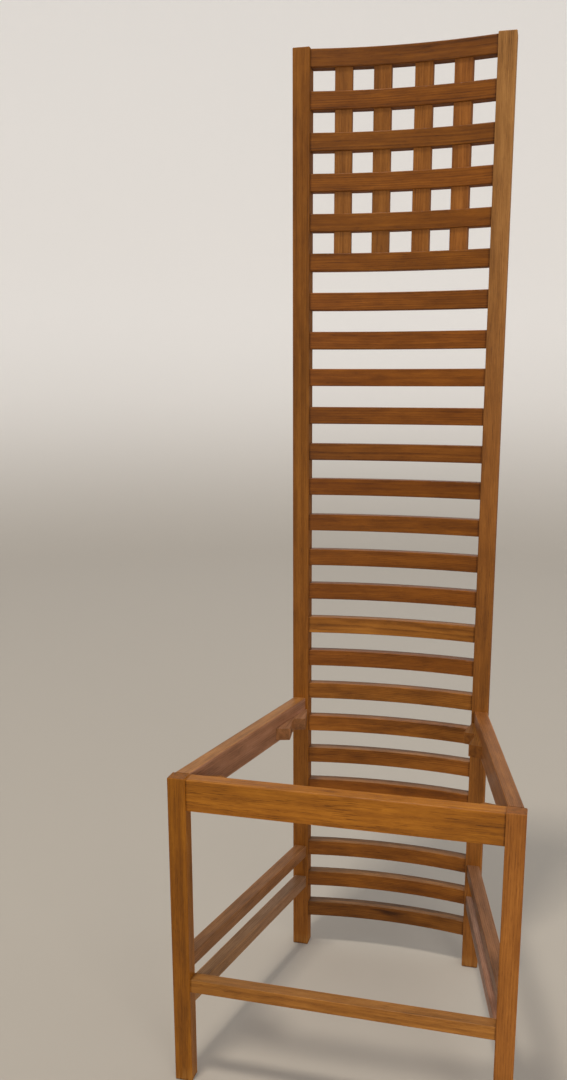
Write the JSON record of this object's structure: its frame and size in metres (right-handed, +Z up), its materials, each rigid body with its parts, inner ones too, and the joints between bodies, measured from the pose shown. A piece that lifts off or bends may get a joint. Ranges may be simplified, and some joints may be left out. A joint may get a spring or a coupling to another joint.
{
  "type": "high-back chair",
  "caption": "Tall slender oak ladder-back chair frame: bowed rungs, square lattice at the top of the back, tapered open seat frame, side and front stretchers.",
  "frame": {"origin": "on the floor, at the middle of the outline in plan", "axes": "+Z up, the sitter faces -Y, +X to the right seen from the front"},
  "size_m": [0.455, 0.3994, 1.412],
  "materials": {
    "oak": "warm brown stained oak, satin varnish",
    "screw_steel": "dull zinc-plated wood screw, sunk below the face of the block"
  },
  "bodies": {
    "root": {"back_post_left": "oak", "back_post_right": "oak", "block_screws": "screw_steel", "crest_rail": "oak", "front_block_left": "oak", "front_block_right": "oak", "front_leg_left": "oak", "front_leg_right": "oak", "front_seat_rail": "oak", "front_stretcher": "oak", "lattice_rail_1": "oak", "lattice_rail_2": "oak", "lattice_rail_3": "oak", "lattice_rail_4": "oak", "lattice_rail_5": "oak", "lattice_slat_1": "oak", "lattice_slat_2": "oak", "lattice_slat_3": "oak", "lattice_slat_4": "oak", "rear_block_left": "oak", "rear_block_right": "oak", "rung_01": "oak", "rung_02": "oak", "rung_03": "oak", "rung_04": "oak", "rung_05": "oak", "rung_06": "oak", "rung_07": "oak", "rung_08": "oak", "rung_09": "oak", "rung_10": "oak", "rung_11": "oak", "rung_12": "oak", "rung_13": "oak", "rung_14": "oak", "rung_15": "oak", "rung_16": "oak", "rung_17": "oak", "rung_18": "oak", "rung_19": "oak", "side_seat_rail_left": "oak", "side_seat_rail_right": "oak", "side_stretcher_lower_left": "oak", "side_stretcher_lower_right": "oak", "side_stretcher_upper_left": "oak", "side_stretcher_upper_right": "oak"}
  },
  "joints": []
}
